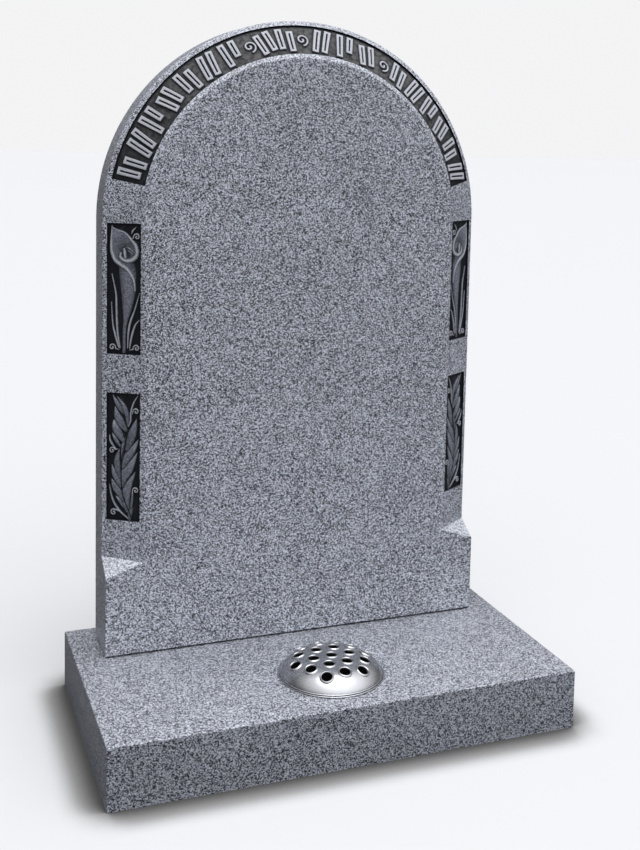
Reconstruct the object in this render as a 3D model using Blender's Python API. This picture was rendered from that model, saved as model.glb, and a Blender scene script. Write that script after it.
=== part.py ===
"""A lawn memorial: a carved granite headstone on a granite base, with a flower container let into the base.

Metres, +Z up. The origin is the middle of the base's underside, and the carved face looks along -Y.
"""

import math

import bmesh
import bpy
from mathutils import Matrix, Vector

# The headstone slab, with a semicircular top over its whole width
stone_width = 0.5334
stone_height = 0.8382
stone_thickness = 0.0762
arch_steps = 42

# The base slab, by how far it reaches past the headstone on each side, behind it and in front of it
base_height = 0.0762
base_side_margin = 0.0381
base_back_margin = 0.0254
base_ledge = 0.2223
base_arris = 0.0016
joint_gap = 0.0003

# The chamfered border round the sides and the arch, and the sloped stops at its feet
border_width = 0.0508
border_setback = 0.0318
stop_height = 0.107
stop_tip_rise = 0.0173
stop_back_rise = 0.020

# The sunk arch band and the two sunk panels up each side, all centred on the chamfer between two plain rims
rim_width = 0.0069
sunk_depth = 0.0025
band_foot_angle = math.radians(12)
band_steps = 33
panel_stop_gap = 0.0507
panel_spacing = 0.0509
panel_spring_gap = 0.0022
cutter_reach = 0.004

# The relief left standing in them, just below the face of the stone
relief_clearance = 0.0003
relief_root = 0.0006
lobe_width = 0.0129
curl_radius = 0.0042
curl_turns = 1.15
curl_points = 8

# The marks in the arch band: twin-line strokes in groups, with a small spiral between two groups
mark_groups = (7, 2, 3, 6)
spiral_angles = tuple(math.radians(angle) for angle in (-18.6, -1.0, 28.5))
spiral_radius = 0.0088
mark_margin = 0.0056
mark_lean = math.radians(14)
stroke_width = 0.0058
stroke_line = 0.0021

# The flower container, hung by its flange in a hole drilled through the ledge of the base
pot_radius = 0.0600
pot_wall = 0.0012
pot_ground_gap = 0.0065
pot_forward = 0.0170
pot_hole_clearance = 0.0025
flange_width = 0.0088
flange_thickness = 0.0015
pot_steps = 36
hole_sides = 48

# The perforated lid: a dome on a flat lip, with a locating ring under it
lid_margin = 0.0016
lid_wall = 0.0012
lid_lip = 0.0016
lid_lip_height = 0.0014
lid_rise = 0.0205
lid_flatness = 4
lid_roll = 0.85
lid_ring_depth = 0.0060
lid_ring_clearance = 0.0006
lid_hole_radius = 0.0070
lid_hole_margin = 0.0006
lid_hole_turn = math.radians(2.5)
lid_hole_rings = 2
lid_hole_sides = 10
lid_steps = 30

# Worked out from the sizes above
base_width = stone_width + 2 * base_side_margin
base_depth = base_ledge + stone_thickness + base_back_margin
stone_foot = base_height + joint_gap
stone_front = base_ledge - base_depth / 2
stone_back = stone_front + stone_thickness
outer_radius = stone_width / 2
inner_radius = outer_radius - border_width
spring_height = stone_height - outer_radius
arch_centre = stone_foot + spring_height
slope = math.hypot(border_width, border_setback)
middle_radius = outer_radius - border_width / 2
middle_depth = stone_front + border_setback / 2
sunk_width = slope - 2 * rim_width
band_half_angle = math.pi / 2 - band_foot_angle
leaf_panel_foot = stop_height + stop_back_rise + panel_stop_gap
panel_height = (spring_height - panel_spring_gap - panel_spacing - leaf_panel_foot) / 2
calla_panel_foot = leaf_panel_foot + panel_height + panel_spacing
relief_height = sunk_depth - relief_clearance
mark_height = sunk_width - 2 * mark_margin
pot_centre = Vector((0.0, stone_front - base_ledge / 2 - pot_forward, 0.0))
pot_inner_radius = pot_radius - pot_wall
flange_radius = pot_radius + flange_width
flange_seat = base_height + joint_gap
lid_radius = flange_radius - lid_margin
lid_seat = flange_seat + flange_thickness + joint_gap
ring_outer = pot_inner_radius - lid_ring_clearance
ring_inner = ring_outer - lid_wall
lid_hole_pitch = (ring_inner - lid_hole_margin - lid_hole_radius) / lid_hole_rings


def clear_scene():
    for item in list(bpy.data.objects):
        bpy.data.objects.remove(item, do_unlink=True)


def finish_material(name, colour, roughness, metallic):
    material = bpy.data.materials.new(name)
    material.use_nodes = True
    shader = material.node_tree.nodes["Principled BSDF"]
    shader.inputs["Base Color"].default_value = (*colour, 1.0)
    shader.inputs["Roughness"].default_value = roughness
    shader.inputs["Metallic"].default_value = metallic
    return material


def object_from(bm, name, material=None):
    """A mesh object from a bmesh whose faces are made to point outwards."""
    bmesh.ops.recalc_face_normals(bm, faces=bm.faces)
    mesh = bpy.data.meshes.new(name)
    bm.to_mesh(mesh)
    bm.free()
    made = bpy.data.objects.new(name, mesh)
    bpy.context.scene.collection.objects.link(made)
    if material:
        mesh.materials.append(material)
    return made


def shade_round(made, angle):
    made.data.shade_smooth()
    made.data.set_sharp_from_angle(angle=angle)


def combine(target, tool, operation, overlapping=False):
    """Cuts or joins the tool with the target for good, and removes the tool."""
    tool.hide_render = True
    tool.display_type = "WIRE"
    modifier = target.modifiers.new(operation.lower(), "BOOLEAN")
    modifier.operation = operation
    modifier.object = tool
    modifier.solver = "EXACT"
    modifier.use_self = overlapping
    bpy.context.view_layer.update()
    evaluated = target.evaluated_get(bpy.context.evaluated_depsgraph_get())
    joined = bpy.data.meshes.new_from_object(evaluated)
    old = target.data
    target.modifiers.clear()
    target.data = joined
    joined.name = target.name
    bpy.data.meshes.remove(old)
    bpy.data.objects.remove(tool, do_unlink=True)


def triangulated(made):
    """Splits the many-sided faces that the cuts leave, always the same way."""
    bm = bmesh.new()
    bm.from_mesh(made.data)
    bmesh.ops.triangulate(bm, faces=bm.faces, quad_method="BEAUTY", ngon_method="BEAUTY")
    bm.to_mesh(made.data)
    bm.free()


def turned(profile, centre, steps):
    """A solid turned about the vertical through centre, from (radius, height) pairs that end on it."""
    bm = bmesh.new()
    points = [bm.verts.new((centre.x + radius, centre.y, height)) for radius, height in profile]
    edges = [bm.edges.new(pair) for pair in zip(points, points[1:])]
    bmesh.ops.spin(
        bm, geom=points + edges, cent=centre, axis=(0, 0, 1), angle=math.tau, steps=steps, use_merge=True
    )
    bmesh.ops.remove_doubles(bm, verts=bm.verts, dist=1e-6)
    return bm


def cylinder(bm, centre, radius, low, high, sides):
    """A plain upright cylinder, for cutting a hole."""
    middle = Matrix.Translation((centre.x, centre.y, (low + high) / 2))
    bmesh.ops.create_cone(
        bm, cap_ends=True, segments=sides, radius1=radius, radius2=radius, depth=high - low, matrix=middle
    )


def panel_place(side, foot):
    """The panel frame on one side's chamfer: u towards the stone's middle, v up from the panel's foot."""

    def place(u, v, height):
        inward = u / slope
        outward = (height - sunk_depth) / slope
        x = side * (middle_radius - inward * border_width + outward * border_setback)
        y = middle_depth - inward * border_setback - outward * border_width
        return Vector((x, y, stone_foot + foot + v))

    return place


def band_place(angle):
    """The frame on the arch's chamfer at an angle from the crown: u clockwise, v outwards across the band."""

    def place(u, v, height):
        outward = (height - sunk_depth) / slope
        radius = middle_radius + v * border_width / slope + outward * border_setback
        y = middle_depth + v * border_setback / slope - outward * border_width
        turn = angle + u / middle_radius
        return Vector((radius * math.sin(turn), y, arch_centre + radius * math.cos(turn)))

    return place


def smooth_path(points, count):
    """A Catmull-Rom curve through the points, as count points at even steps of its parameter."""
    ends = [2 * points[0] - points[1], *points, 2 * points[-1] - points[-2]]
    path = []
    for step in range(count):
        place = step * (len(points) - 1) / (count - 1)
        index = min(int(place), len(points) - 2)
        t = place - index
        a, b, c, d = ends[index : index + 4]
        curve = 2 * b + (c - a) * t + (2 * a - 5 * b + 4 * c - d) * t**2 + (3 * b - a - 3 * c + d) * t**3
        path.append(curve / 2)
    return path


def mitres(path, closed):
    """The sideways direction at each point of a path, longer where the path turns sharply."""
    count = len(path)
    found = []
    for index, point in enumerate(path):
        before = path[index - 1] if closed or index else None
        after = path[(index + 1) % count] if closed or index < count - 1 else None
        first = (point - before).normalized() if before is not None else None
        last = (after - point).normalized() if after is not None else None
        first = first or last
        last = last or first
        sides = [Vector((-way.y, way.x)) for way in (first, last)]
        spread = max(1 + sides[0].dot(sides[1]), 0.55)
        found.append((sides[0] + sides[1]) / spread)
    return found


def ribbon(bm, place, path, half_widths, section, closed=False):
    """A raised strip along a path. The section is (share of half width, height) pairs from left to right."""
    loops = []
    for point, side, half in zip(path, mitres(path, closed), half_widths):
        low = [(1.0, -relief_root), *section, (-1.0, -relief_root)]
        spots = [(point + side * half * share, height) for share, height in low]
        loops.append([bm.verts.new(place(spot.x, spot.y, height)) for spot, height in spots])
    pairs = list(zip(loops, loops[1:]))
    if closed:
        pairs.append((loops[-1], loops[0]))
    for one, two in pairs:
        for index in range(len(one)):
            after = (index + 1) % len(one)
            bm.faces.new((one[index], one[after], two[after], two[index]))
    if not closed:
        bm.faces.new(loops[0])
        bm.faces.new(reversed(loops[-1]))


def line_section(height):
    return [(0.55, height), (-0.55, height)]


def ridge_section(height):
    return [(0.0, height)]


def round_section(height):
    return [(0.65, height * 0.75), (0.0, height), (-0.65, height * 0.75)]


def tapered(count, widest, peak=0.5, start=0.12, end=0.12):
    """Half widths along a leaf: narrow at both ends, widest at the share called peak."""
    widths = []
    for index in range(count):
        share = index / (count - 1)
        rise = share / peak if share < peak else (1 - share) / (1 - peak)
        least = start if share < peak else end
        widths.append(widest * (least + (1 - least) * math.sin(rise * math.pi / 2)))
    return widths


def blade(bm, place, points, widest, height=relief_height, count=5, peak=0.5, start=0.12):
    path = smooth_path(points, count)
    ribbon(bm, place, path, tapered(count, widest, peak, start), ridge_section(height))


def spiral(bm, place, centre, radius, start, hand):
    """A small curl that winds in from its outer end."""
    path, widths = [], []
    for index in range(curl_points):
        share = index / (curl_points - 1)
        reach = radius * (1 - 0.75 * share)
        turn = start + hand * share * curl_turns * math.tau
        path.append(centre + reach * Vector((math.cos(turn), math.sin(turn))))
        widths.append(radius * (0.13 + 0.09 * math.sin(math.pi * share)))
    ribbon(bm, place, path, widths, ridge_section(relief_height * 0.9))


def twin_stroke(bm, place, centre, length, lean):
    """A straight stroke drawn as a raised outline with a sunk line along its middle."""
    along = Vector((math.sin(lean), math.cos(lean)))
    across = Vector((along.y, -along.x))
    reach = (length - stroke_line) / 2
    spread = (stroke_width - stroke_line) / 2
    corners = ((-1, -1), (1, -1), (1, 1), (-1, 1))
    path = [centre + across * spread * i + along * reach * j for i, j in corners]
    ribbon(bm, place, path, [stroke_line / 2] * 4, line_section(relief_height), closed=True)


def mark(bm, place, kind):
    """One of four groups of upright or leaning bars, none of them a letter.

    A bar is its place across and up, its length, all as shares of the mark's height, and its lean.
    """
    strokes = (
        ((-0.14, 0.00, 1.00, 0.0), (0.12, 0.26, 0.44, 0.0), (0.12, -0.26, 0.44, 0.0)),
        ((-0.16, 0.00, 0.96, mark_lean), (0.16, 0.00, 0.96, mark_lean)),
        ((-0.22, -0.20, 0.50, 0.0), (0.00, 0.00, 1.00, 0.0), (0.22, 0.20, 0.50, 0.0)),
        ((-0.18, 0.12, 0.70, -mark_lean), (0.18, -0.12, 0.70, -mark_lean)),
    )[kind]
    for u, v, share, tilt in strokes:
        twin_stroke(bm, place, Vector((u, v)) * mark_height, share * mark_height, tilt)


def arch_band_relief(bm):
    """The rows of marks and the spirals between them, with wider gaps beside a spiral than at the ends."""
    stops = [-band_half_angle, *spiral_angles, band_half_angle]
    kind = 0
    for group, count in enumerate(mark_groups):
        start, end = stops[group], stops[group + 1]
        first = 0.30 if group else 0.05
        last = 0.30 if group < len(mark_groups) - 1 else 0.05
        pitch = (end - start) / (count + first + last)
        for index in range(count):
            mark(bm, band_place(start + pitch * (first + 0.5 + index)), kind % 4)
            kind += 1
    for angle in spiral_angles:
        spiral(bm, band_place(angle), Vector((0, 0)), spiral_radius, math.radians(-80), 1)


def panel_points(shares):
    return [Vector((u * sunk_width, v * panel_height)) for u, v in shares]


def corner_spirals(bm, place, spots):
    for u, v, start, hand in spots:
        centre = Vector((u * sunk_width, v * panel_height))
        spiral(bm, place, centre, curl_radius, math.radians(start), hand)


def calla_relief(bm, place):
    """A calla lily: a trumpet with a curled spathe and its rolled rim, between four grass blades."""
    trumpet = panel_points(
        [(-0.01, 0.03), (0.00, 0.16), (0.03, 0.29), (0.08, 0.42), (0.09, 0.53), (0.02, 0.66)]
    )
    widths = [0.055, 0.060, 0.095, 0.165, 0.205, 0.200]
    ribbon(bm, place, trumpet, [w * sunk_width for w in widths], round_section(relief_height * 0.8))
    bowl = panel_points([(-0.34, 0.965), (-0.18, 0.90), (-0.05, 0.82), (-0.02, 0.74), (0.00, 0.66)])
    bowl_widths = [0.02, 0.25, 0.36, 0.34, 0.16]
    ribbon(bm, place, bowl, [w * sunk_width for w in bowl_widths], round_section(relief_height * 0.5))
    lip = [(0.30, 0.51), (0.25, 0.58), (0.09, 0.635), (-0.16, 0.67), (-0.37, 0.73), (-0.41, 0.81)]
    fold = [(-0.35, 0.90), (-0.345, 0.97), (-0.08, 0.945), (0.18, 0.90), (0.34, 0.84), (0.39, 0.77)]
    curl = [(0.30, 0.715), (0.10, 0.70), (-0.08, 0.725), (-0.12, 0.775)]
    rim = panel_points(lip + fold + curl)
    path = smooth_path(rim, 20)
    thick = tapered(20, 0.048 * sunk_width, 0.4, 0.35, 0.6)
    ribbon(bm, place, path, thick, line_section(relief_height))
    blade(bm, place, panel_points([(-0.01, 0.81), (0.08, 0.78), (0.16, 0.745)]), 0.07 * sunk_width, count=4)
    grass = (
        [(-0.35, 0.61), (-0.23, 0.38), (-0.09, 0.04)],
        [(-0.36, 0.40), (-0.32, 0.18), (-0.14, 0.04)],
        [(0.44, 0.48), (0.235, 0.28), (0.11, 0.05)],
        [(0.44, 0.27), (0.22, 0.14), (0.16, 0.05)],
    )
    for shares in grass:
        blade(bm, place, panel_points(shares), 0.032 * sunk_width, relief_height * 0.8)
    blade(bm, place, panel_points([(0.22, 0.925), (0.28, 0.96), (0.38, 0.985)]), 0.025 * sunk_width, count=4)
    corner_spirals(bm, place, ((-0.36, 0.06, -60, 1), (0.36, 0.06, 240, -1), (0.37, 0.90, 150, -1)))


def leaf(bm, place, midrib, lobes):
    """A lobed leaf: broad lobes that rise from both sides of a curved midrib, and one more at its end.

    A lobe is the share of the midrib where it starts, and how far its tip lies across and up, as panel
    shares.
    """
    spine_steps = 40
    spine = smooth_path(panel_points(midrib), spine_steps + 1)
    half = lobe_width / 2
    for share, across, rise in lobes:
        root = spine[round(share * spine_steps)]
        bend = root + Vector((across * 0.60 * sunk_width, rise * 0.36 * panel_height))
        tip = root + Vector((across * sunk_width, rise * panel_height))
        blade(bm, place, [root, bend, tip], half, relief_height * 0.85, 4, 0.55, 0.5)
    end = [spine[index] for index in (24, 28, 32, 36, 40)]
    blade(bm, place, end, half, relief_height * 0.85, 4, 0.4, 0.4)
    rib = [spine[index] for index in (0, 10, 20, 30, 38)]
    blade(bm, place, rib, 0.03 * sunk_width, relief_height, 7, 0.3, 0.6)


def leaf_relief(bm, place):
    """Two lobed leaves, one growing past the other, with tendrils and four small spirals."""
    lobes = [(0.06, -0.36, 0.15)]
    for index in range(4):
        share = 0.18 + 0.13 * index
        lobes.append((share, 0.36 + 0.05 * index, 0.18))
        lobes.append((share, -0.38 + 0.05 * index, 0.125))
    lower = [(0.17, 0.02), (0.04, 0.15), (-0.09, 0.37), (-0.10, 0.52), (0.03, 0.66), (0.21, 0.74)]
    leaf(bm, place, [*lower, (0.39, 0.79)], lobes)
    upper = [(0.02, 0.66), (0.07, 0.74), (0.06, 0.82), (-0.06, 0.90), (-0.33, 0.975)]
    leaf(bm, place, upper, ((0.05, -0.37, 0.12), (0.32, -0.34, 0.13), (0.36, 0.08, 0.14)))
    tendrils = (
        [(-0.43, 0.29), (-0.31, 0.17), (-0.03, 0.09), (0.17, 0.02)],
        [(0.34, 0.97), (0.24, 0.89), (0.16, 0.80)],
        [(0.27, 0.21), (0.28, 0.13), (0.20, 0.03)],
    )
    for shares in tendrils:
        blade(bm, place, panel_points(shares), 0.03 * sunk_width, relief_height * 0.75)
    curls = ((0.37, 0.86, 150, -1), (-0.37, 0.56, 30, 1), (0.37, 0.245, 150, -1), (-0.32, 0.07, -30, 1))
    corner_spirals(bm, place, curls)


def headstone_slab(material):
    """The slab: the border's section carried up one side, round the arch and down the other, then closed."""
    bm = bmesh.new()
    stop = stone_foot + stop_height
    inner = bm.verts.new((-inner_radius, stone_front, stop + stop_tip_rise))
    outer = bm.verts.new((-outer_radius, stone_front + border_setback, stop + stop_back_rise))
    back = bm.verts.new((-outer_radius, stone_back, stone_foot))
    left_stop = [inner, outer, back]
    edges = [bm.edges.new((inner, outer)), bm.edges.new((outer, back))]

    def in_order(geometry):
        found = [item for item in geometry if isinstance(item, bmesh.types.BMVert)]
        return sorted(found, key=lambda vertex: vertex.co.y)

    def section_edges(points):
        return [bm.edges.get(pair) for pair in zip(points, points[1:])]

    spring = in_order(bmesh.ops.extrude_edge_only(bm, edges=edges)["geom"])
    for vertex in spring:
        vertex.co.z = arch_centre
    spun = bmesh.ops.spin(
        bm,
        geom=spring + section_edges(spring),
        cent=(0, stone_front, arch_centre),
        axis=(0, 1, 0),
        angle=math.pi,
        steps=arch_steps,
    )
    right_edges = section_edges(in_order(spun["geom_last"]))
    right_stop = in_order(bmesh.ops.extrude_edge_only(bm, edges=right_edges)["geom"])
    for vertex, left in zip(right_stop, left_stop):
        vertex.co.z = left.co.z

    feet = []
    for side, (inner, outer, back) in ((-1, left_stop), (1, right_stop)):
        low = bm.verts.new((side * outer_radius, stone_front, stop))
        foot = bm.verts.new((side * outer_radius, stone_front, stone_foot))
        bm.faces.new((inner, outer, low))
        bm.faces.new((outer, back, foot, low))
        feet.append((foot, back))
    (left_foot, left_back), (right_foot, right_back) = feet
    bm.faces.new((left_foot, right_foot, right_back, left_back))
    bmesh.ops.holes_fill(bm, edges=bm.edges, sides=0)
    return object_from(bm, "headstone", material)


def sunk_cutter():
    """The volumes sunk into the chamfer: the arch band and the two panels on each side."""
    bm = bmesh.new()
    place = band_place(-band_half_angle)
    top = sunk_depth + cutter_reach
    corners = ((-0.5, 0.0), (0.5, 0.0), (0.5, top), (-0.5, top))
    start = bm.faces.new([bm.verts.new(place(0, v * sunk_width, height)) for v, height in corners])
    bmesh.ops.spin(
        bm,
        geom=[start],
        cent=(0, 0, arch_centre),
        axis=(0, 1, 0),
        angle=2 * band_half_angle,
        steps=band_steps,
    )
    for side in (-1, 1):
        for foot in (calla_panel_foot, leaf_panel_foot):
            place = panel_place(side, foot)
            cube = bmesh.ops.create_cube(bm, size=1.0)["verts"]
            for vertex in cube:
                u = vertex.co.x * sunk_width
                v = (vertex.co.y + 0.5) * panel_height
                vertex.co = place(u, v, (vertex.co.z + 0.5) * top)
    return object_from(bm, "sunk_cutter")


def relief():
    """All the raised work, each strip a closed body rooted below the sunk floor."""
    bm = bmesh.new()
    arch_band_relief(bm)
    for side in (-1, 1):
        calla_relief(bm, panel_place(side, calla_panel_foot))
        leaf_relief(bm, panel_place(side, leaf_panel_foot))
    return object_from(bm, "relief")


def headstone(material):
    slab = headstone_slab(material)
    combine(slab, sunk_cutter(), "DIFFERENCE")
    combine(slab, relief(), "UNION", overlapping=True)
    triangulated(slab)
    return slab


def base(material):
    """The base, with a fine arris round its top and down its corners, and the hole for the container."""
    bm = bmesh.new()
    size = Matrix.Diagonal((base_width, base_depth, base_height, 1.0))
    bmesh.ops.create_cube(bm, size=1.0, matrix=Matrix.Translation((0, 0, base_height / 2)) @ size)
    edges = [edge for edge in bm.edges if max(vertex.co.z for vertex in edge.verts) > base_height / 2]
    bmesh.ops.bevel(bm, geom=edges, offset=base_arris, segments=1, profile=0.5, affect="EDGES", material=-1)
    slab = object_from(bm, "base", material)
    cutter = bmesh.new()
    hole_radius = pot_radius + pot_hole_clearance
    cylinder(cutter, pot_centre, hole_radius, -cutter_reach, base_height + cutter_reach, hole_sides)
    combine(slab, object_from(cutter, "hole_cutter"), "DIFFERENCE")
    return slab


def flower_container(material):
    """A turned pot with a flat flange that rests on the base, and a floor clear of the ground."""
    floor = pot_ground_gap + pot_wall
    rim = flange_seat + flange_thickness
    profile = [
        (0.0, pot_ground_gap),
        (pot_radius, pot_ground_gap),
        (pot_radius, flange_seat),
        (flange_radius, flange_seat),
        (flange_radius, rim),
        (pot_inner_radius, rim),
        (pot_inner_radius, floor),
        (0.0, floor),
    ]
    pot = object_from(turned(profile, pot_centre, pot_steps), "flower_container", material)
    shade_round(pot, math.radians(40))
    return pot


def dome_height(radius):
    """The lid's outer surface: nearly flat over the holes, then rolling down to the lip."""
    share = min(radius / (lid_radius - lid_lip), 1.0)
    return lid_seat + lid_lip_height + lid_rise * (1 - share**lid_flatness) ** lid_roll


def container_lid(material):
    """A spun dome with a flat lip, and a short ring under it that drops into the container's mouth."""
    shares = (0.0, 0.50, 0.72, 0.86, 0.95, 1.0)
    skirt = lid_radius - lid_lip
    outside = [(share * skirt, dome_height(share * skirt)) for share in shares]
    inside = []
    for one, two in zip(outside, outside[1:]):
        run = Vector(two) - Vector(one)
        middle = (Vector(one) + Vector(two)) / 2
        inside.append(tuple(middle + lid_wall * Vector((run.y, -run.x)).normalized()))
    under = [point for point in inside if point[0] < ring_inner - lid_wall / 2]
    beyond = [point for point in inside if point[0] > ring_outer + lid_wall / 2]
    joins = under + beyond

    def inner_height(radius):
        for (r0, z0), (r1, z1) in zip(joins, joins[1:]):
            if r0 <= radius <= r1:
                return z0 + (z1 - z0) * (radius - r0) / (r1 - r0)
        return joins[-1][1]

    profile = [
        *outside,
        (lid_radius, lid_seat + lid_lip_height),
        (lid_radius, lid_seat),
        (skirt - lid_wall, lid_seat),
        *reversed(beyond),
        (ring_outer, inner_height(ring_outer)),
        (ring_outer, lid_seat - lid_ring_depth),
        (ring_inner, lid_seat - lid_ring_depth),
        (ring_inner, inner_height(ring_inner)),
        *reversed(under),
        (0.0, outside[0][1] - lid_wall),
    ]
    lid = object_from(turned(profile, pot_centre, lid_steps), "container_lid", material)
    cutter = bmesh.new()
    rings = lid_hole_rings
    low = lid_seat + lid_lip_height
    high = low + lid_rise + cutter_reach
    for i in range(-rings, rings + 1):
        for j in range(max(-rings, -i - rings), min(rings, -i + rings) + 1):
            across = lid_hole_pitch * Vector((i + j / 2, j * math.sqrt(3) / 2, 0))
            across.rotate(Matrix.Rotation(lid_hole_turn, 3, "Z"))
            cylinder(cutter, pot_centre + across, lid_hole_radius, low, high, lid_hole_sides)
    combine(lid, object_from(cutter, "lid_hole_cutter"), "DIFFERENCE")
    triangulated(lid)
    shade_round(lid, math.radians(35))
    return lid


clear_scene()
granite = finish_material("blue_grey_granite", (0.33, 0.34, 0.37), 0.35, 0.0)
base_granite = finish_material("blue_grey_granite_base", (0.33, 0.34, 0.37), 0.22, 0.0)
spun_metal = finish_material("spun_aluminium", (0.74, 0.75, 0.77), 0.30, 1.0)
polished_metal = finish_material("polished_aluminium", (0.82, 0.83, 0.85), 0.16, 1.0)

headstone(granite)
base(base_granite)
flower_container(spun_metal)
container_lid(polished_metal)
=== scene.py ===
import math

import bmesh
import bpy
import numpy as np
from mathutils import Matrix, Vector


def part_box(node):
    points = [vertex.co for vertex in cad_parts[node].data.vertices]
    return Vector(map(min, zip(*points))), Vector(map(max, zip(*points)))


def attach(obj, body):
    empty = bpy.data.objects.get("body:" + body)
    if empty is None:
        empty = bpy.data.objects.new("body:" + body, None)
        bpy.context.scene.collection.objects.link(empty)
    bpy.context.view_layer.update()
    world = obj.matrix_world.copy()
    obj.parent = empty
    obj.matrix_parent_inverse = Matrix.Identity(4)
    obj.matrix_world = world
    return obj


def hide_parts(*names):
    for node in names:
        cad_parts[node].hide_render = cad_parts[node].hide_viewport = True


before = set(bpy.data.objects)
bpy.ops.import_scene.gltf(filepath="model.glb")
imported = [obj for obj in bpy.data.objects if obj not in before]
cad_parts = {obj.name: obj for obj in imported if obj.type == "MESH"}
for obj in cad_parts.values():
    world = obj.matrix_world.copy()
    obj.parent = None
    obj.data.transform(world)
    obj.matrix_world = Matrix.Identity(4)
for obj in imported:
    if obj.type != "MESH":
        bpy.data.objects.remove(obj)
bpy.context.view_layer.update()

# The headstone: one slab of blue-grey granite, 76 mm thick, sawn, polished and ground to a half-round
# top. A chamfered border runs up both sides and over the arch, and ends at the foot in two sloped stops.
# Its arch band and four side panels are sunk 2.5 mm, painted black, and carved in low relief.
stone_low, stone_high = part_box("headstone")
outer_radius = stone_high.x
arch_centre = stone_high.z - outer_radius
face_depth = stone_low.y
back_depth = stone_high.y
border_width = 0.0508
border_setback = 0.0318
stop_height = 0.107
stop_tip_rise = 0.0173
stop_back_rise = 0.020
arris = 0.0008
rim_width = 0.0069
sunk_depth = 0.0025
wall_draft = 0.0004
relief_clearance = 0.0003
chisel_step = 0.0005
plain_step = 0.006

slope = math.hypot(border_width, border_setback)
inner_radius = outer_radius - border_width
middle_radius = outer_radius - border_width / 2
middle_depth = face_depth + border_setback / 2
sunk_width = slope - 2 * rim_width
relief_height = sunk_depth - relief_clearance
spring_height = arch_centre - stone_low.z
band_foot_angle = math.radians(12)
panel_stop_gap = 0.0507
panel_spacing = 0.0509
panel_spring_gap = 0.0022
leaf_foot = stop_height + stop_back_rise + panel_stop_gap
panel_height = (spring_height - panel_spring_gap - panel_spacing - leaf_foot) / 2
calla_foot = leaf_foot + panel_height + panel_spacing
arch_length = math.pi * middle_radius
band_start = band_foot_angle * middle_radius
band_end = arch_length - band_start


# The carver's strokes. A drawing is a field of heights over the sunk floor, from 0 on the floor to 1 on
# the highest relief, and each stroke raises it where it stands higher than what is there already.
plate_slope = 0.0009


def smooth_path(points, count):
    """A Catmull-Rom curve through the points, as count points at even steps of its parameter."""
    points = np.array(points, float)
    ends = np.vstack([2 * points[0] - points[1], points, 2 * points[-1] - points[-2]])
    place = np.linspace(0, len(points) - 1, count)
    index = np.minimum(place.astype(int), len(points) - 2)
    t = (place - index)[:, None]
    a, b, c, d = (ends[index + offset] for offset in range(4))
    return (2 * b + (c - a) * t + (2 * a - 5 * b + 4 * c - d) * t**2 + (3 * b - a - 3 * c + d) * t**3) / 2


def swelling(count, widest, peak=0.5, start=0.12, end=0.12):
    """Half widths along a blade: narrow at both ends and widest at the share called peak."""
    share = np.linspace(0, 1, count)
    rise = np.where(share < peak, share / peak, (1 - share) / (1 - peak))
    least = np.where(share < peak, start, end)
    return widest * (least + (1 - least) * np.sin(rise * math.pi / 2))


def rounded(across):
    return np.sqrt(np.maximum(1 - across**2, 0))


def flattened(across):
    return np.sqrt(np.maximum(1 - across**4, 0))


def leaf_blade(across):
    """A lobe of a leaf: a fairly flat back with round edges, and a fine vein cut along its middle."""
    return (1 - across**4) ** 0.5 * (1.0 - 0.12 * across) - 0.20 * np.exp(-((across / 0.09) ** 2))


def trail(drawing, path, half_widths, height, section, cut=False):
    """Raises the drawing along a path, or cuts it down, with the section across it and a height along it."""
    u, v, field = drawing
    path = np.asarray(path, float)
    half_widths = np.broadcast_to(half_widths, len(path)).astype(float)
    height = np.broadcast_to(height, len(path)).astype(float)
    reach = half_widths.max()
    low, high = path.min(0) - reach, path.max(0) + reach
    near = np.flatnonzero((u > low[0]) & (u < high[0]) & (v > low[1]) & (v < high[1]))
    spots = np.stack([u[near], v[near]], 1)
    best = np.full(len(near), 2.0)
    tall = np.zeros(len(near))
    for one, two, w0, w1, h0, h1 in zip(path, path[1:], half_widths, half_widths[1:], height, height[1:]):
        run = two - one
        share = np.clip(((spots - one) @ run) / max(run @ run, 1e-12), 0, 1)
        distance = np.linalg.norm(spots - one - share[:, None] * run, axis=1)
        across = distance / (w0 + (w1 - w0) * share)
        closer = across < best
        best = np.where(closer, across, best)
        tall = np.where(closer, h0 + (h1 - h0) * share, tall)
    raised = np.where(best < 1, tall * section(np.minimum(best, 1)), 0)
    field[near] = field[near] * (1 - raised) if cut else np.maximum(field[near], raised)


def curl(drawing, centre, radius, start, hand, tail=None, turns=1.25, weight=0.19):
    """A small spiral that winds in from its outer end, where it may trail off in a tail."""
    share = np.linspace(0, 1, 40)
    turn = math.radians(start) + hand * share * turns * math.tau
    reach = radius * (1 - 0.86 * share)
    path = np.stack([centre[0] + reach * np.cos(turn), centre[1] + reach * np.sin(turn)], 1)
    half = radius * weight * (1.0 + 0.15 * share)
    if tail:
        away = np.array([centre]) + radius * np.array([tail])
        path = np.vstack([away, path])
        half = np.concatenate([[half[0] * 0.5], half])
    trail(drawing, path, half, 1.0, flattened)


def plate(drawing, outline, height):
    """Raises the inside of a closed outline, to a height given as a function of the two coordinates."""
    u, v, field = drawing
    inside = np.zeros(len(u), bool)
    edge = np.full(len(u), 1.0)
    for one, two in zip(outline, np.roll(outline, -1, 0)):
        run = two - one
        crosses = (one[1] > v) != (two[1] > v)
        if run[1]:
            inside ^= crosses & (u < one[0] + (v - one[1]) * run[0] / run[1])
        share = np.clip(((u - one[0]) * run[0] + (v - one[1]) * run[1]) / max(run @ run, 1e-12), 0, 1)
        edge = np.minimum(edge, np.hypot(u - one[0] - share * run[0], v - one[1] - share * run[1]))
    raised = np.where(inside, height(u, v) * np.clip(edge / plate_slope, 0, 1), 0)
    np.maximum(field, raised, out=field)


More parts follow.
